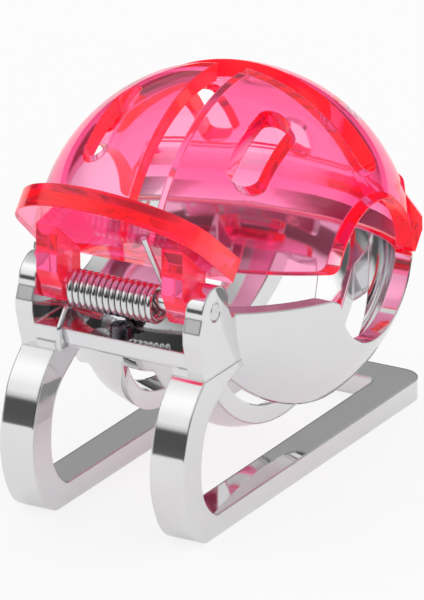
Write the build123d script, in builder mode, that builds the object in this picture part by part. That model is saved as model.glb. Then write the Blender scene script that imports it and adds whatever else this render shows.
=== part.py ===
from build123d import *
from math import cos, pi, radians, sin, sqrt, tan
import os

# Golf-ball line marker: a spring-hinged clip that holds a ball between a chrome bowl and a
# clear pink stencil shell, on a chrome sled stand. Millimetres.
# X runs along the hinge pin, the hinge is at the front (-Y), the ball goes in from the rear (+Y).

# ball seat
ball_diameter = 42.67
ball_play = 0.30
seat_radius = ball_diameter / 2 + ball_play
wall = 2.25
half_radius = seat_radius + wall

# stand: two legs that sweep down into rails, joined by a bar at the rear
frame_half_width = 13.07
leg_width = 4.72
leg_inside = frame_half_width - leg_width
rail_height = 2.80
seat_height = 29.0
bar_inside = 25.30
bar_outside = 30.25
bar_corner = 3.2
bar_inner_corner = 1.4
parting_height = -7.55
leg_root_depth = 10.6
leg_root_drop = 0.65

# tab: a D-shaped thumb plate leaning out over the hinge
tab_half_width = 13.3
tab_rise = 11.0
tab_skirt = 7.3
tab_skirt_half_width = 13.85
tab_corner = 0.8
tab_thickness = 3.0
tab_incline = 39.6
tab_ahead = 2.235
tab_y = -half_radius - tab_ahead
tab_z = 9.24
tab_reach = -(tab_y - tab_rise * cos(radians(tab_incline)) - tab_thickness / 2 * sin(radians(tab_incline)))

# the seat centre, placed so that the whole clip is centred front to rear
seat_y = (tab_reach - bar_outside) / 2

# upper shell: a little more open than a half, leaning to the rear
lean = 10.5
shell_y = 0.10
shell_z = -1.58
shell_rim = 1.90
slot_half_width = 2.1
side_slot_x = 10.4
side_slot_half_width = 1.9
side_slot_top = 27.0
side_slot_end = 50.0
cross_slot_end = 51.0
rear_slot_top = 50.5
rear_slot_end = 58.0
centre_slot_end = 72.0
window_radius = 10.1
window_corner = 1.6
window_skirt = 16.0
flare_top = 9.1
flare_shoulder = 6.4
flare_step = 4.85
flare_out = 0.75
flare_rim = 0.12
flare_waist = 0.57
flare_blend = 1.5
lead_in = 1.1
lead_in_top = 8.0
flare_root = 2.1
flare_angle = 62

# hinge
pin_radius = 1.20
pin_ahead = 1.215
pin_y = -half_radius - pin_ahead
pin_z = 0.80
pin_press = 0.02
pin_run = 0.06
pin_chamfer = 0.2
ear_thickness = 2.37
ear_inside = frame_half_width - ear_thickness
ear_radius = 3.30
lug_gap = 0.30
lug_thickness = 3.0
lug_outside = ear_inside - lug_gap
lug_inside = lug_outside - lug_thickness
lug_ahead = 4.615
lug_depth = 5.6
lug_front = -half_radius - lug_ahead
lug_back = lug_front + lug_depth
lug_knee = 3.2
knuckle_radius = 2.3

# lower bowl
bowl_rim = -1.08
rim_gap = 0.15
bowl_window_radius = 9.5
bar_top = -4.0
bar_ahead = 4.615
bar_front = -half_radius - bar_ahead
bar_bottom = -6.6
bar_round = 1.0
bar_draft = 0.5
bar_depth = 9.5
bar_back = bar_front + bar_depth
vent_inner = 8.8
vent_arc = 37.7
vent_outer = 15.7
vent_end = 18.0
vent_top = -4.0
lens_arc = 55.5
lens_half_width = 6.5
lens_end = 21.4
lens_top = -9.0

ear_foot_back = 0.9
ear_foot = bar_front + ear_foot_back
ear_brow = 0.7
ear_brow_top = 1.8
ear_brow_bottom = 3.2
cheek_length = 11.6
cheek_back = ear_foot + cheek_length
leg_root = ear_foot + leg_root_depth

# leg outline from the side, measured back from the foot of the ear: front face down to the
# floor, then rear face up from the rail
leg_front = [
    (ear_foot + back, height)
    for back, height in (
        (0, parting_height),
        (-1.6, -9.0),
        (-3.3, -11.0),
        (-4.7, -14.3),
        (-5.5, -18.2),
        (-5.15, -21.8),
        (-3.9, -25.2),
        (-2.2, -27.6),
        (0.4, -seat_height),
    )
]
leg_back = [
    (ear_foot + back, height)
    for back, height in (
        (3.0, rail_height - seat_height),
        (1.3, -25.2),
        (0, -23.6),
        (-0.8, -21.6),
        (-1.05, -19.2),
        (-0.7, -16.2),
        (0.4, -13.4),
        (2.8, -11.2),
        (5.9, -9.4),
    )
]

# screw in the shelf, with a low flat head under the coil
screw_ahead = 0.30
screw_y = pin_y - screw_ahead
screw_head_radius = 1.5
screw_head_height = 0.90
screw_head_bevel = 0.20
screw_recess_length = 1.5
screw_recess_width = 0.35
screw_recess_depth = 0.45
screw_shank_radius = 0.75
screw_fit = 0.03
screw_length = 2.2
screw_tip_gap = 0.4

# spring: a close coil round the pin, one leg hooked under the shelf, one along the tab
wire = 0.76
turn_gap = 0.07
coil_radius = 2.09
coil_drop = 0.42
coil_forward = 0.19
coil_left_gap = 0.08
coil_right_gap = 1.90
wire_gap = 0.05
coil_clearance = 0.15
hook_length = 2.2
hook_bend = 0.8
knee_lift = 0.1
coil_exit = 1.9
tab_leg_gap = 0.15
tab_leg_run = 0.75
tab_leg_incline = 57.0
tab_leg_bend = 0.9

# cuts: out past the whole part, and a little past a surface
far = 60.0
over = 1.0

side = Plane(origin=(0, seat_y, seat_height), x_dir=(0, 1, 0), z_dir=(1, 0, 0))
top = Plane(origin=(0, seat_y, seat_height), x_dir=(1, 0, 0), z_dir=(0, 0, 1))
lean_angle = radians(lean)
shell_centre = (0, seat_y + shell_y, seat_height + shell_z)
shell_side = Plane(
    origin=shell_centre,
    x_dir=(0, cos(lean_angle), -sin(lean_angle)),
    z_dir=(1, 0, 0),
)
shell_top = Plane(
    origin=shell_centre,
    x_dir=(1, 0, 0),
    z_dir=(0, sin(lean_angle), cos(lean_angle)),
)
tab_angle = radians(tab_incline)
tab_plane = Plane(
    origin=(0, seat_y + tab_y, seat_height + tab_z),
    x_dir=(1, 0, 0),
    z_dir=(0, -sin(tab_angle), -cos(tab_angle)),
)
pin_side = Plane(origin=(0, seat_y + pin_y, seat_height + pin_z), x_dir=(0, 1, 0), z_dir=(1, 0, 0))

# the coil fills most of the room between the lugs and hangs on the pin
coil_left = lug_inside - coil_left_gap - wire / 2
coil_right = lug_inside - coil_right_gap - wire / 2
coil_length = coil_left + coil_right
coil_turns = int(coil_length / (wire + turn_gap))
tab_leg_x = lug_inside - tab_leg_gap - wire / 2
coil_y = pin_y - coil_forward
coil_z = pin_z - coil_drop
coil_side = Plane(origin=(0, seat_y + coil_y, seat_height + coil_z), x_dir=(0, 1, 0), z_dir=(1, 0, 0))

# stencil slots, each cut towards the shell centre with round ends:
# plane of the slot, half width, angles of its two ends from the pole
across = Plane(origin=shell_centre, x_dir=(1, 0, 0), z_dir=shell_side.x_dir * -1)
slots = [
    (shell_side, slot_half_width, -centre_slot_end, 0),
    (across, slot_half_width, -cross_slot_end, cross_slot_end),
    (shell_side, side_slot_half_width, rear_slot_top, rear_slot_end),
    (shell_side.offset(side_slot_x), side_slot_half_width, -side_slot_end, -side_slot_top),
    (shell_side.offset(side_slot_x), side_slot_half_width, side_slot_top, side_slot_end),
    (shell_side.offset(-side_slot_x), side_slot_half_width, -side_slot_end, -side_slot_top),
    (shell_side.offset(-side_slot_x), side_slot_half_width, side_slot_top, side_slot_end),
]
slot_reach = half_radius + flare_out + over
slot_steps = 8


with BuildPart() as upper_shell:
    with Locations(shell_centre):
        Sphere(half_radius)
    # everything under the rim plane goes
    with BuildSketch(shell_side):
        with Locations((0, shell_rim - far)):
            Rectangle(2 * far, 2 * far)
    extrude(amount=far, both=True, mode=Mode.SUBTRACT)
    # thumb plate
    with BuildSketch(tab_plane) as plate:
        with BuildLine():
            EllipticalCenterArc((0, 0), tab_half_width, tab_rise, start_angle=0, arc_size=180)
            Line((-tab_half_width, 0), (-tab_skirt_half_width, -tab_skirt))
            Line((-tab_skirt_half_width, -tab_skirt), (tab_skirt_half_width, -tab_skirt))
            Line((tab_skirt_half_width, -tab_skirt), (tab_half_width, 0))
        make_face()
        fillet(plate.vertices().group_by(Axis.Z)[0], tab_corner)
    extrude(amount=tab_thickness / 2, both=True)
    # lead-in flare round the rear of the rim, revolved each way from the middle
    pole = Axis(shell_centre, shell_top.z_dir)
    for sign in (1, -1):
        with BuildSketch(shell_side):
            with BuildLine():
                Polyline(
                    (half_radius - flare_root, flare_top + flare_blend),
                    (sqrt(half_radius**2 - flare_top**2), flare_top),
                    (half_radius + flare_waist, flare_shoulder),
                    (half_radius + flare_out, flare_step),
                    (half_radius + flare_rim, shell_rim),
                    (half_radius - flare_root, shell_rim),
                    close=True,
                )
            make_face()
        revolve(axis=pole, revolution_arc=sign * flare_angle)
    # hinge lugs: from the thumb plate down to a knuckle round the pin
    for sign in (-1, 1):
        with BuildSketch(side.offset(sign * (lug_inside + lug_outside) / 2)):
            with BuildLine():
                Polyline(
                    (pin_y - knuckle_radius, pin_z),
                    (lug_front, lug_knee),
                    (lug_front, tab_z + (tab_y - lug_front) * tan(tab_angle)),
                    (lug_back, tab_z + (tab_y - lug_back) * tan(tab_angle)),
                    (pin_y + knuckle_radius, pin_z),
                )
                ThreePointArc(
                    (pin_y + knuckle_radius, pin_z),
                    (pin_y, pin_z - knuckle_radius),
                    (pin_y - knuckle_radius, pin_z),
                )
            make_face()
        extrude(amount=(lug_outside - lug_inside) / 2, both=True)
    # ball seat
    with Locations(shell_centre):
        Sphere(seat_radius, mode=Mode.SUBTRACT)
    # lead-in inside the flare
    for sign in (1, -1):
        with BuildSketch(shell_side):
            with BuildLine():
                Polyline(
                    (sqrt(seat_radius**2 - lead_in_top**2), lead_in_top),
                    (seat_radius + lead_in, shell_rim),
                    (seat_radius + lead_in, shell_rim - over),
                    (seat_radius - wall, shell_rim - over),
                    (seat_radius - wall, lead_in_top),
                    close=True,
                )
            make_face()
        revolve(axis=pole, revolution_arc=sign * flare_angle, mode=Mode.SUBTRACT)
    # stencil slots
    for plane, half_width, start, end in slots:
        fan = [(0, 0)]
        for i in range(slot_steps + 1):
            a = radians(start + (end - start) * i / slot_steps)
            fan.append((slot_reach * sin(a), slot_reach * cos(a)))
        with BuildSketch(plane):
            Polygon(*fan, align=None)
        extrude(amount=half_width, both=True, mode=Mode.SUBTRACT)
        for angle in (start, end):
            a = radians(angle)
            ray = plane.x_dir * sin(a) + plane.y_dir * cos(a)
            with BuildSketch(Plane(origin=plane.origin, x_dir=plane.z_dir, z_dir=ray)):
                Circle(half_width)
            extrude(amount=slot_reach, mode=Mode.SUBTRACT)
    # round side windows, half in each part
    with BuildSketch(shell_side) as window:
        Circle(window_radius)
        with Locations((0, shell_rim - window_skirt / 2)):
            Rectangle(half_radius + window_skirt, window_skirt)
        notch = window.vertices().group_by(Axis.Z)[-1]
        fillet(notch, window_corner)
    extrude(amount=far, both=True, mode=Mode.SUBTRACT)
    # pin bore
    with BuildSketch(pin_side):
        Circle(pin_radius + pin_run)
    extrude(amount=lug_outside + over, both=True, mode=Mode.SUBTRACT)
upper_shell.part.label = "upper_shell"

rim_slope = tan(lean_angle)
rim_plane_height = shell_z + shell_rim / cos(lean_angle) + shell_y * rim_slope
rear_rim_start = (rim_plane_height - rim_gap - bowl_rim) / rim_slope

with BuildPart() as lower_bowl:
    with Locations((0, seat_y, seat_height)):
        Sphere(half_radius)
    # the rim: level from the front to behind the windows, then down with the shell
    with BuildSketch(side):
        with BuildLine():
            Polyline(
                (-far, bowl_rim),
                (rear_rim_start, bowl_rim),
                (far, bowl_rim - rim_slope * (far - rear_rim_start)),
                (far, far),
                (-far, far),
                close=True,
            )
        make_face()
    extrude(amount=far, both=True, mode=Mode.SUBTRACT)
    for sign in (-1, 1):
        # ear that carries the pin, with the cheek that runs back to the bowl
        with BuildSketch(side.offset(sign * (frame_half_width + ear_inside) / 2)):
            with BuildLine():
                Polyline(
                    (pin_y - ear_radius, pin_z),
                    (pin_y - ear_radius - ear_brow, pin_z - ear_brow_top),
                    (pin_y - ear_radius - ear_brow, pin_z - ear_brow_bottom),
                    (ear_foot, parting_height),
                    (cheek_back, parting_height),
                    (cheek_back, bowl_rim - rim_gap),
                    (pin_y + ear_radius + ear_brow, bowl_rim - rim_gap),
                    (pin_y + ear_radius, pin_z),
                )
                ThreePointArc(
                    (pin_y + ear_radius, pin_z),
                    (pin_y, pin_z + ear_radius),
                    (pin_y - ear_radius, pin_z),
                )
            make_face()
        extrude(amount=(frame_half_width - ear_inside) / 2, both=True)
        # foot under the ear, as wide as the leg that meets it
        with BuildSketch(side.offset(sign * (frame_half_width + leg_inside) / 2)):
            with BuildLine():
                Polyline(
                    (ear_foot, parting_height),
                    (bar_front + bar_draft, bar_bottom + bar_round),
                    (cheek_back, bar_bottom + bar_round),
                    (cheek_back, parting_height),
                    close=True,
                )
            make_face()
        extrude(amount=leg_width / 2, both=True)
    # shelf between the ears
    with BuildSketch(side) as shelf:
        with BuildLine():
            Polyline(
                (bar_front, bar_top),
                (bar_front + bar_draft, bar_bottom),
                (bar_back, bar_bottom),
                (bar_back, bar_top),
                close=True,
            )
        make_face()
        fillet(shelf.vertices().sort_by(Axis.Y)[:2], bar_round)
    extrude(amount=ear_inside, both=True)
    # ball seat
    with Locations((0, seat_y, seat_height)):
        Sphere(seat_radius, mode=Mode.SUBTRACT)
    # round side windows, half in each part
    with BuildSketch(side) as window:
        Circle(bowl_window_radius)
        with Locations((0, bowl_rim + window_skirt / 2)):
            Rectangle(half_radius + window_skirt, window_skirt)
        notch = window.vertices().group_by(Axis.Z)[0]
        fillet(notch, window_corner)
    extrude(amount=far, both=True, mode=Mode.SUBTRACT)
    # side vents underneath
    for sign in (-1, 1):
        vent_centre = vent_outer - vent_arc
        with BuildSketch(top.offset(-half_radius - over)):
            with BuildLine():
                end_x = vent_centre + sqrt(vent_arc**2 - vent_end**2)
                Polyline(
                    (sign * end_x, vent_end),
                    (sign * vent_inner, vent_end),
                    (sign * vent_inner, -vent_end),
                    (sign * end_x, -vent_end),
                )
                ThreePointArc(
                    (sign * end_x, -vent_end),
                    (sign * vent_outer, 0),
                    (sign * end_x, vent_end),
                )
            make_face()
        extrude(amount=half_radius + over + vent_top, mode=Mode.SUBTRACT)
    # lens-shaped slot along the bottom
    with BuildSketch(top.offset(-half_radius - over)):
        with BuildLine():
            lens_centre = lens_half_width - lens_arc
            tip_x = lens_centre + sqrt(lens_arc**2 - lens_end**2)
            Line((-tip_x, -lens_end), (tip_x, -lens_end))
            ThreePointArc((tip_x, -lens_end), (lens_half_width, 0), (tip_x, lens_end))
            Line((tip_x, lens_end), (-tip_x, lens_end))
            ThreePointArc((-tip_x, lens_end), (-lens_half_width, 0), (-tip_x, -lens_end))
        make_face()
    extrude(amount=half_radius + over + lens_top, mode=Mode.SUBTRACT)
    # pin holes in the ears
    with BuildSketch(pin_side):
        Circle(pin_radius + pin_press)
    extrude(amount=frame_half_width + over, both=True, mode=Mode.SUBTRACT)
    # room for the coil in the front of the rim
    with BuildSketch(coil_side):
        Circle(coil_radius + wire / 2 + coil_clearance)
    extrude(amount=lug_inside, both=True, mode=Mode.SUBTRACT)
    # screw hole
    with BuildSketch(top.offset(bar_top)):
        with Locations((0, screw_y)):
            Circle(screw_shank_radius + screw_fit)
    extrude(amount=-screw_length - screw_tip_gap, mode=Mode.SUBTRACT)
lower_bowl.part.label = "lower_bowl"

with BuildPart() as stand_frame:
    with BuildSketch(side):
        with BuildLine():
            Spline(*leg_front)
            Polyline(
                leg_front[-1],
                (bar_outside, -seat_height),
                (bar_outside, -seat_height + rail_height),
                leg_back[0],
            )
            Spline(*leg_back)
            Polyline(
                leg_back[-1],
                (leg_root, parting_height - leg_root_drop),
                (leg_root, parting_height),
                leg_front[0],
            )
        make_face()
    extrude(amount=frame_half_width, both=True)
    # open between the legs and rails
    with BuildSketch(top.offset(-seat_height - over)) as opening:
        with Locations((0, (bar_inside - far) / 2)):
            Rectangle(2 * leg_inside, bar_inside + far)
        fillet(opening.vertices().group_by(Axis.Y)[-1], bar_inner_corner)
    extrude(amount=seat_height + over, mode=Mode.SUBTRACT)
    # round rear corners
    with BuildSketch(top.offset(-seat_height - over)) as plan:
        with Locations((0, (bar_outside - far) / 2)):
            Rectangle(2 * frame_half_width, bar_outside + far)
        fillet(plan.vertices().group_by(Axis.Y)[-1], bar_corner)
    extrude(amount=seat_height + over, mode=Mode.INTERSECT)
    # hollowed to the bowl
    with Locations((0, seat_y, seat_height)):
        Sphere(half_radius, mode=Mode.SUBTRACT)
stand_frame.part.label = "stand_frame"

with BuildPart() as hinge_pin:
    with BuildSketch(pin_side):
        Circle(pin_radius)
    extrude(amount=frame_half_width, both=True)
    chamfer(hinge_pin.edges().filter_by(GeomType.CIRCLE), pin_chamfer)
hinge_pin.part.label = "hinge_pin"

with BuildPart() as stand_screw:
    with BuildSketch(top.offset(bar_top)):
        with Locations((0, screw_y)):
            Circle(screw_head_radius)
    extrude(amount=screw_head_height)
    head_rim = stand_screw.edges().filter_by(GeomType.CIRCLE).sort_by(Axis.Z)[-1]
    chamfer(head_rim, screw_head_bevel)
    with BuildSketch(top.offset(bar_top + screw_head_height)):
        with Locations((0, screw_y)):
            Rectangle(screw_recess_length, screw_recess_width)
            Rectangle(screw_recess_width, screw_recess_length)
    extrude(amount=-screw_recess_depth, mode=Mode.SUBTRACT)
    with BuildSketch(top.offset(bar_top)):
        with Locations((0, screw_y)):
            Circle(screw_shank_radius)
    extrude(amount=-screw_length)
stand_screw.part.label = "stand_screw"

# spring frame: local z along the coil, local x straight down, local y to the rear
coil_start = Plane(
    origin=(-coil_left, seat_y + coil_y, seat_height + coil_z),
    x_dir=(0, 0, -1),
    z_dir=(1, 0, 0),
)
hook_y = bar_front - wire / 2 - wire_gap - coil_y
hook_z = coil_z - bar_bottom + wire / 2 + wire_gap
knee_z = coil_z - bar_top - knee_lift
# distance from the coil's axis to the centre line of a wire that touches the tab
tab_offset = (
    (tab_y - coil_y) * sin(tab_angle)
    + (tab_z - coil_z) * cos(tab_angle)
    - tab_thickness / 2
    - wire / 2
    - wire_gap
)
# the last half turn opens out behind the pin to reach the tab leg
leg_z = coil_left + tab_leg_x
spread_steps = 8
spread = []
for i in range(spread_steps + 1):
    a = pi * i / spread_steps
    eased = (1 - cos(a)) / 2
    spread.append((coil_radius * cos(a), coil_radius * sin(a), coil_length + (leg_z - coil_length) * eased))
# the leg runs on over the coil, bends up and ends where it touches the tab
leg_angle = radians(tab_leg_incline)
tab_leg_start = coil_radius * cos(tab_angle) - tab_leg_run * sin(tab_angle)
tab_leg_length = (tab_offset - tab_leg_start) / sin(leg_angle - tab_angle)

with BuildPart() as torsion_spring:
    with BuildLine(coil_start) as path:
        FilletPolyline(
            (hook_z, hook_y + hook_length, 0),
            (hook_z, hook_y, 0),
            (knee_z, hook_y, 0),
            (coil_radius, -coil_exit, 0),
            (coil_radius, 0, 0),
            radius=hook_bend,
        )
        add(coil_start.location * Edge.make_helix(coil_length / coil_turns, coil_length, coil_radius))
        add(coil_start.location * Edge.make_spline(spread, tangents=[(0, 1, 0), (0, -1, 0)]))
        FilletPolyline(
            (-coil_radius, 0, leg_z),
            (-coil_radius, -tab_leg_run, leg_z),
            (
                -coil_radius - tab_leg_length * sin(leg_angle),
                -tab_leg_run - tab_leg_length * cos(leg_angle),
                leg_z,
            ),
            radius=tab_leg_bend,
        )
    with BuildSketch(path.line ^ 0):
        Circle(wire / 2)
    sweep(path=path.line)
torsion_spring.part.label = "torsion_spring"

os.makedirs("parts", exist_ok=True)
export_step(upper_shell.part, "parts/upper_shell.step")
export_step(lower_bowl.part, "parts/lower_bowl.step")
export_step(stand_frame.part, "parts/stand_frame.step")
export_step(hinge_pin.part, "parts/hinge_pin.step")
export_step(stand_screw.part, "parts/stand_screw.step")
export_step(torsion_spring.part, "parts/torsion_spring.step")
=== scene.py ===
import bpy
import bmesh
from math import cos, radians, sin
from mathutils import Matrix, Vector


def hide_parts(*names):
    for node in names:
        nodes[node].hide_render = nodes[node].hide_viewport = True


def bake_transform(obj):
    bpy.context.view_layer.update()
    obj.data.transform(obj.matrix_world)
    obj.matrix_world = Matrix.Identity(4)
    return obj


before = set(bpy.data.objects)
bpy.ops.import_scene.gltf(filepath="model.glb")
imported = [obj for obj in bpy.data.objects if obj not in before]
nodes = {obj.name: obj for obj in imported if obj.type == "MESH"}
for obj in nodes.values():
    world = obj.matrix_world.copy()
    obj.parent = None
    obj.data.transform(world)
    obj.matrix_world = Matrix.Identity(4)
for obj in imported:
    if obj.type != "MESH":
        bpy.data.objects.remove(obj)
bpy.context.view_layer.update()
scene = bpy.context.scene
MM = 0.001

# the middle of the ball seat, on which the clip is built
seat = Vector((0, 2.651, 29.0)) * MM


# ---------------------------------------------------------------- camera
# a long lens; the seat lies at seat_pixel in an image of 424 by 600
image_size = Vector((424, 600))
seat_pixel = Vector((223.43, 237.19))
pixels_per_metre = 7957
camera_azimuth = radians(29.56)
camera_elevation = radians(21.03)
camera_distance = 1.0
nearest_seen = 0.05
farthest_seen = 20
sensor = 36.0

towards_camera = Vector(
    (
        sin(camera_azimuth) * cos(camera_elevation),
        -cos(camera_azimuth) * cos(camera_elevation),
        sin(camera_elevation),
    )
)
right = Vector((cos(camera_azimuth), sin(camera_azimuth), 0))
up = towards_camera.cross(right)
off_centre = (image_size / 2 - seat_pixel) / pixels_per_metre
aim = seat + right * off_centre.x - up * off_centre.y

camera_data = bpy.data.cameras.new("camera")
camera_data.lens = pixels_per_metre * camera_distance * sensor / image_size.y
camera_data.sensor_width = sensor
camera_data.clip_start = nearest_seen
camera_data.clip_end = farthest_seen
camera = bpy.data.objects.new("camera", camera_data)
scene.collection.objects.link(camera)
camera.rotation_mode = "QUATERNION"
camera.location = aim + towards_camera * camera_distance
camera.rotation_quaternion = Matrix((right, up, towards_camera)).transposed().to_quaternion()
scene.camera = camera


# ---------------------------------------------------------------- material helpers
def new_material(name):
    material = bpy.data.materials.new(name)
    material.use_nodes = True
    tree = material.node_tree
    shader = tree.nodes["Principled BSDF"]
    return material, tree, shader


def vector_math(tree, operation, first, second=None):
    """A vector sum, dot product and so on of a socket with a socket or a fixed vector."""
    node = tree.nodes.new("ShaderNodeVectorMath")
    node.operation = operation
    tree.links.new(first, node.inputs[0])
    if isinstance(second, Vector):
        node.inputs[1].default_value = second
    elif second is not None:
        tree.links.new(second, node.inputs[1])
    gives_number = operation in ("DOT_PRODUCT", "DISTANCE")
    return node.outputs["Value" if gives_number else "Vector"]


def number_math(tree, operation, first, second=None):
    """A sum, product and so on of two sockets or fixed numbers."""
    node = tree.nodes.new("ShaderNodeMath")
    node.operation = operation
    for socket, value in zip(node.inputs, (first, second)):
        if isinstance(value, (int, float)):
            socket.default_value = value
        elif value is not None:
            tree.links.new(value, socket)
    return node.outputs[0]


def split(tree, vector):
    """The X, Y and Z of a vector socket."""
    node = tree.nodes.new("ShaderNodeSeparateXYZ")
    tree.links.new(vector, node.inputs[0])
    return node.outputs


def fade(tree, value, low, high, first, last):
    """Smooth step of a value from first at low to last at high."""
    node = tree.nodes.new("ShaderNodeMapRange")
    node.interpolation_type = "SMOOTHSTEP"
    tree.links.new(value, node.inputs["Value"])
    node.inputs["From Min"].default_value = low
    node.inputs["From Max"].default_value = high
    node.inputs["To Min"].default_value = first
    node.inputs["To Max"].default_value = last
    return node.outputs["Result"]


def cloud(tree, scale, detail, stretch=(1, 1, 1)):
    """Noise on the piece's own coordinates."""
    place = tree.nodes.new("ShaderNodeTexCoord")
    mapping = tree.nodes.new("ShaderNodeMapping")
    mapping.inputs["Scale"].default_value = stretch
    tree.links.new(place.outputs["Object"], mapping.inputs["Vector"])
    noise = tree.nodes.new("ShaderNodeTexNoise")
    noise.inputs["Scale"].default_value = scale
    noise.inputs["Detail"].default_value = detail
    tree.links.new(mapping.outputs[0], noise.inputs["Vector"])
    return noise.outputs["Fac"]


def ramp(tree, value, stops, interpolation="LINEAR"):
    """Colour that follows a value through (place, colour) stops."""
    node = tree.nodes.new("ShaderNodeValToRGB")
    node.color_ramp.interpolation = interpolation
    elements = node.color_ramp.elements
    while len(elements) < len(stops):
        elements.new(0.5)
    for element, (place, colour) in zip(elements, stops):
        element.position = place
        element.color = (*colour, 1)
    tree.links.new(value, node.inputs[0])
    return node.outputs["Color"]


def ripple(tree, shader, height, strength, distance, edge=0):
    """Fine relief, and with an edge radius softly worn edges."""
    bump = tree.nodes.new("ShaderNodeBump")
    bump.inputs["Strength"].default_value = strength
    bump.inputs["Distance"].default_value = distance
    tree.links.new(height, bump.inputs["Height"])
    if edge:
        worn = tree.nodes.new("ShaderNodeBevel")
        worn.samples = 6
        worn.inputs["Radius"].default_value = edge
        tree.links.new(worn.outputs[0], bump.inputs["Normal"])
    tree.links.new(bump.outputs[0], shader.inputs["Normal"])


def mix_shaders(tree, share, first, second):
    """The first shader, with a share of the second."""
    mix = tree.nodes.new("ShaderNodeMixShader")
    tree.links.new(share, mix.inputs["Fac"])
    tree.links.new(first.outputs[0], mix.inputs[1])
    tree.links.new(second.outputs[0], mix.inputs[2])
    return mix.outputs[0]


# ---------------------------------------------------------------- clear pink plastic
plastic_index = 1.49
plastic_relief = 0.05 * MM
plastic_edge = 0.25 * MM
dye_colour = (1.0, 0.37, 0.69, 1)
dye_density = 560
# painted glow: the plastic's surface gives off a faint red light of its own, which makes it look
# brighter and redder
painted_glow_colour = (1.0, 0.02, 0.14, 1)
painted_glow_strength = 0.05

# the sphere of the upper shell and the plane of its thumb plate, which stay clear;
# the cut walls round them get a painted red glow, for light carried along inside the plastic
shell_centre = seat + Vector((0, 0.10, -1.58)) * MM
tab_incline = radians(39.6)
tab_normal = Vector((0, sin(tab_incline), cos(tab_incline)))

# how squarely a face looks along the sphere's radius, or with the plate, where it starts to
# count as clear and where it is wholly clear
round_start, round_full = 0.80, 0.93
flat_start, flat_full = 0.90, 0.98

# the painted red glow of the cut walls: its share of the surface, its two shades and its painted
# light
painted_wall_share = 0.65
wall_roughness = 0.22
painted_wall_deep = (0.95, 0.010, 0.040)
painted_wall_bright = (1.0, 0.060, 0.055)
painted_wall_glow_colour = (1.0, 0.03, 0.06, 1)
painted_wall_glow_strength = 0.30

# slot walls of the dome that look outwards or up lose most of the painted red glow; the dome ends
# between these distances from its centre, and the thumb plate lies beyond
pale_loss = 0.85
outward_full = 9 * MM
upward_start, upward_full = 0.25, 0.7
dome_end, dome_past = 24.2 * MM, 24.8 * MM


def painted_wall_glow_mask(tree):
    """Where the painted red glow of the cut walls shows: neither on the sphere nor on the thumb
    plate.
    """
    place = tree.nodes.new("ShaderNodeTexCoord")
    spot = place.outputs["Object"]
    normal = place.outputs["Normal"]

    outward = vector_math(tree, "SUBTRACT", spot, shell_centre)
    outward = vector_math(tree, "NORMALIZE", outward)
    round_face = number_math(tree, "ABSOLUTE", vector_math(tree, "DOT_PRODUCT", outward, normal))
    flat_face = number_math(tree, "ABSOLUTE", vector_math(tree, "DOT_PRODUCT", normal, tab_normal))
    on_sphere = fade(tree, round_face, round_start, round_full, 0, 1)
    on_plate = fade(tree, flat_face, flat_start, flat_full, 0, 1)
    clear = number_math(tree, "MAXIMUM", on_sphere, on_plate)
    wall = number_math(tree, "MULTIPLY", number_math(tree, "SUBTRACT", 1.0, clear), painted_wall_share)

    # walls that look outwards or up get less of the painted red glow, a painted shading by which
    # way they face
    facing = split(tree, normal)
    outwards = number_math(tree, "MULTIPLY", split(tree, spot)["X"], facing["X"])
    outwards = fade(tree, outwards, 0.0, outward_full, 0, 1)
    upwards = fade(tree, facing["Z"], upward_start, upward_full, 0, 1)
    from_centre = vector_math(tree, "DISTANCE", spot, shell_centre)
    in_dome = fade(tree, from_centre, dome_end, dome_past, 1, 0)
    paler = number_math(tree, "MULTIPLY", number_math(tree, "MAXIMUM", outwards, upwards), in_dome)
    kept = number_math(tree, "SUBTRACT", 1.0, number_math(tree, "MULTIPLY", paler, pale_loss))
    wall = number_math(tree, "MULTIPLY", wall, kept)

    # a wall seen from inside the plastic stays clear
    side = tree.nodes.new("ShaderNodeNewGeometry")
    from_outside = number_math(tree, "SUBTRACT", 1.0, side.outputs["Backfacing"])
    return number_math(tree, "MULTIPLY", wall, from_outside)


def clear_pink_plastic():
    """Tinted clear plastic with a faint painted glow, and a painted red glow in the cut walls."""
    material, tree, shader = new_material("clear_pink_plastic")
    shader.inputs["Base Color"].default_value = (1, 1, 1, 1)
    shader.inputs["IOR"].default_value = plastic_index
    shader.inputs["Transmission Weight"].default_value = 1.0
    # painted glow of the plastic's surface
    shader.inputs["Emission Color"].default_value = painted_glow_colour
    shader.inputs["Emission Strength"].default_value = painted_glow_strength
    wear = cloud(tree, scale=260, detail=3)
    haze = fade(tree, wear, low=0.3, high=0.7, first=0.01, last=0.05)
    tree.links.new(haze, shader.inputs["Roughness"])
    flow = cloud(tree, scale=240, detail=2)
    ripple(tree, shader, flow, strength=0.12, distance=plastic_relief, edge=plastic_edge)

    # the painted red glow of the cut walls, for light carried along inside the plastic: two reds
    # in random patches, and painted light of its own
    red = tree.nodes.new("ShaderNodeBsdfPrincipled")
    red.inputs["Roughness"].default_value = wall_roughness
    red.inputs["IOR"].default_value = plastic_index
    red.inputs["Emission Color"].default_value = painted_wall_glow_colour
    red.inputs["Emission Strength"].default_value = painted_wall_glow_strength
    patches = cloud(tree, scale=130, detail=2)
    shades = ramp(tree, patches, [(0.35, painted_wall_deep), (0.65, painted_wall_bright)])
    tree.links.new(shades, red.inputs["Base Color"])

    tint = tree.nodes.new("ShaderNodeVolumeAbsorption")
    tint.inputs["Color"].default_value = dye_colour
    tint.inputs["Density"].default_value = dye_density

    output = tree.nodes["Material Output"]
    surface = mix_shaders(tree, painted_wall_glow_mask(tree), shader, red)
    tree.links.new(surface, output.inputs["Surface"])
    tree.links.new(tint.outputs[0], output.inputs["Volume"])
    return material


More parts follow.
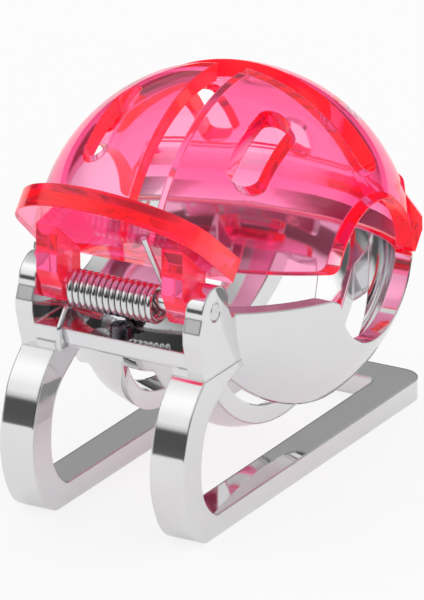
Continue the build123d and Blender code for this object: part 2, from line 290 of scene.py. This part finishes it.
# ---------------------------------------------------------------- metals
def metal(name, dark, light, grain, haze_grain, haze, relief_grain, relief, edge=0):
    """Bare metal in tones from dark to light.

    A grain is a cloud's scale and detail, and its stretch if it has one. The haze is where
    its cloud starts and ends, and the roughness at each. The relief is its strength and
    its depth.
    """
    material, tree, shader = new_material(name)
    shader.inputs["Metallic"].default_value = 1.0
    tones = ramp(tree, cloud(tree, *grain), [(0, dark), (1, light)])
    tree.links.new(tones, shader.inputs["Base Color"])
    tree.links.new(fade(tree, cloud(tree, *haze_grain), *haze), shader.inputs["Roughness"])
    ripple(tree, shader, cloud(tree, *relief_grain), *relief, edge)
    return material


def polished_chrome():
    """Bright plating with a faint ripple, slightly hazy patches and worn edges."""
    return metal(
        "polished_chrome",
        dark=(0.76, 0.76, 0.78),
        light=(0.84, 0.84, 0.84),
        grain=(90, 4),
        haze_grain=(420, 5),
        haze=(0.35, 0.75, 0.03, 0.08),
        relief_grain=(150, 2),
        relief=(0.10, 0.05 * MM),
        edge=0.42 * MM,
    )


def shade_darkened_steel():
    """Steel darkened as painted shade, which gives the screw head its dark look, with a slightly
    worn grain.
    """
    return metal(
        "shade_darkened_steel",
        dark=(0.05, 0.05, 0.07),
        light=(0.22, 0.21, 0.22),
        grain=(700, 4),
        haze_grain=(1200, 3),
        haze=(0.3, 0.7, 0.14, 0.30),
        relief_grain=(1200, 3),
        relief=(0.12, 0.02 * MM),
        edge=0.10 * MM,
    )


def spring_wire():
    """Bright drawn steel, with its grain running round the pin."""
    return metal(
        "spring_wire",
        dark=(0.66, 0.67, 0.69),
        light=(0.84, 0.84, 0.84),
        grain=(900, 4, (3, 1, 1)),
        haze_grain=(1500, 3, (4, 1, 1)),
        haze=(0.3, 0.7, 0.10, 0.24),
        relief_grain=(1400, 3, (4, 1, 1)),
        relief=(0.15, 0.02 * MM),
    )


def dress(node, material):
    nodes[node].data.materials.clear()
    nodes[node].data.materials.append(material)


pink = clear_pink_plastic()
chrome = polished_chrome()
wire = spring_wire()
dress("upper_shell", pink)
dress("lower_bowl", chrome)
dress("stand_frame", chrome)
# the screw's metal is darkened as painted shade
dress("stand_screw", shade_darkened_steel())
dress("hinge_pin", wire)
dress("torsion_spring", wire)


# ---------------------------------------------------------------- spring
# a welded, smoothly shaded copy of the spring takes the place of the packed one; its hook sits
# with the stand, and its tab leg with the shell
weld_distance = 0.001 * MM
smooth_below = radians(40)

spring_mesh = nodes["torsion_spring"].data.copy()
wound = bmesh.new()
wound.from_mesh(spring_mesh)
bmesh.ops.remove_doubles(wound, verts=wound.verts, dist=weld_distance)
for face in wound.faces:
    face.smooth = True
for edge in wound.edges:
    edge.smooth = edge.calc_face_angle(0) < smooth_below
wound.to_mesh(spring_mesh)
wound.free()
spring_mesh.name = "coil_spring"
coil_spring = bpy.data.objects.new("coil_spring", spring_mesh)
scene.collection.objects.link(coil_spring)
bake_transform(coil_spring)
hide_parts("torsion_spring")


# ---------------------------------------------------------------- studio
# how much of the paper's white is the same everywhere, and not in the object's shade:
# as the camera sees it, and as the metal reflects it
paper_seen = 0.80
paper_reflected = 0.35
paper_tone = 0.9
paper_roughness = 0.9
floor_side = 6
floor_drop = 0.01 * MM


def floor_paper():
    """Pale paper that keeps a soft shadow for the camera and a deeper one in reflections."""
    material, tree, shader = new_material("floor_paper")
    shader.inputs["Base Color"].default_value = (paper_tone, paper_tone, paper_tone, 1)
    shader.inputs["Roughness"].default_value = paper_roughness
    glow = tree.nodes.new("ShaderNodeEmission")
    glow.inputs["Color"].default_value = (1, 1, 1, 1)
    ray = tree.nodes.new("ShaderNodeLightPath").outputs
    seen = number_math(tree, "MAXIMUM", ray["Is Camera Ray"], ray["Is Transmission Ray"])
    seen_share = number_math(tree, "MULTIPLY", seen, paper_seen)
    reflected_share = number_math(tree, "MULTIPLY", ray["Is Glossy Ray"], paper_reflected)
    share = number_math(tree, "MAXIMUM", seen_share, reflected_share)
    surface = mix_shaders(tree, share, shader, glow)
    tree.links.new(surface, tree.nodes["Material Output"].inputs["Surface"])
    return material


floor_mesh = bpy.data.meshes.new("floor")
sheet = bmesh.new()
bmesh.ops.create_grid(sheet, x_segments=1, y_segments=1, size=0.5)
bmesh.ops.scale(sheet, vec=(floor_side, floor_side, 1), verts=sheet.verts)
bmesh.ops.translate(sheet, vec=(0, 0, -floor_drop), verts=sheet.verts)
sheet.to_mesh(floor_mesh)
sheet.free()
floor_mesh.materials.append(floor_paper())
floor = bpy.data.objects.new("floor", floor_mesh)
scene.collection.objects.link(floor)


# the room as brightness by height in degrees over the floor's edge, for each of its walls:
# a dark band along the horizon, white soft boxes over it and a grey ceiling
room_turn = 30
ceiling = 0.65
straight_up = 90
half_circle = 180
front_wall = [(-1, 0.80), (1, 0.03), (31, 0.03), (37, 0.35), (45, 0.55), (60, 0.50)]
left_wall = [
    (-1, 0.85), (1, 0.15), (8, 0.12), (13, 0.12), (18, 1.0), (22, 1.25), (50, 1.25), (62, 0.8),
]
right_wall = [
    (-1, 0.80), (1, 0.10), (10, 0.12), (18, 0.14), (23, 0.36), (29, 0.85), (45, 0.80), (62, 0.60),
]
rear_wall = [
    (-1, 0.80), (1, 0.03), (8, 0.10), (13, 0.14), (17, 0.42), (22, 0.37), (50, 0.50), (62, 0.55),
]
room_walls = {0: front_wall, -90: left_wall, 90: right_wall, 180: rear_wall}


def room_light(tree):
    """The brightness of the room in the direction of a ray."""
    direction = tree.nodes.new("ShaderNodeTexCoord").outputs["Generated"]
    along = split(tree, direction)
    height = number_math(tree, "ARCSINE", along["Z"])
    height = number_math(tree, "DIVIDE", height, radians(half_circle))
    height = number_math(tree, "ADD", height, 0.5)
    across = number_math(tree, "MULTIPLY", along["X"], along["X"])
    deep = number_math(tree, "MULTIPLY", along["Y"], along["Y"])
    level_length = number_math(tree, "ADD", across, deep)
    room = None
    for degrees_round, wall_tones in room_walls.items():
        stops = [
            (0.5 + degrees_up / half_circle, (tone, tone, tone))
            for degrees_up, tone in [*wall_tones, (straight_up, ceiling)]
        ]
        wall = ramp(tree, height, stops, "EASE")
        turn = radians(room_turn + degrees_round)
        outlook = Vector((sin(turn), -cos(turn), 0))
        facing = vector_math(tree, "DOT_PRODUCT", direction, outlook)
        facing = number_math(tree, "MAXIMUM", facing, 0.0)
        share = number_math(tree, "MULTIPLY", facing, facing)
        share = number_math(tree, "DIVIDE", share, level_length)
        part = number_math(tree, "MULTIPLY", share, wall)
        room = part if room is None else number_math(tree, "ADD", room, part)
    return room


# polished metal and clear plastic see the room; the camera and soft light see plain white
world = bpy.data.worlds.new("studio")
scene.world = world
world.use_nodes = True
world_tree = world.node_tree
background = world_tree.nodes["Background"]
world_tree.links.new(room_light(world_tree), background.inputs["Color"])
white = world_tree.nodes.new("ShaderNodeBackground")
white.inputs["Color"].default_value = (1, 1, 1, 1)
world_ray = world_tree.nodes.new("ShaderNodeLightPath").outputs
plain = number_math(
    world_tree, "MAXIMUM", world_ray["Is Camera Ray"], world_ray["Diffuse Depth"]
)
plain = number_math(world_tree, "MINIMUM", plain, 1.0)
sky = mix_shaders(world_tree, plain, background, white)
world_tree.links.new(sky, world_tree.nodes["World Output"].inputs["Surface"])

scene.view_settings.view_transform = "Standard"
scene.cycles.max_bounces = 24
scene.cycles.transmission_bounces = 24
scene.cycles.glossy_bounces = 12
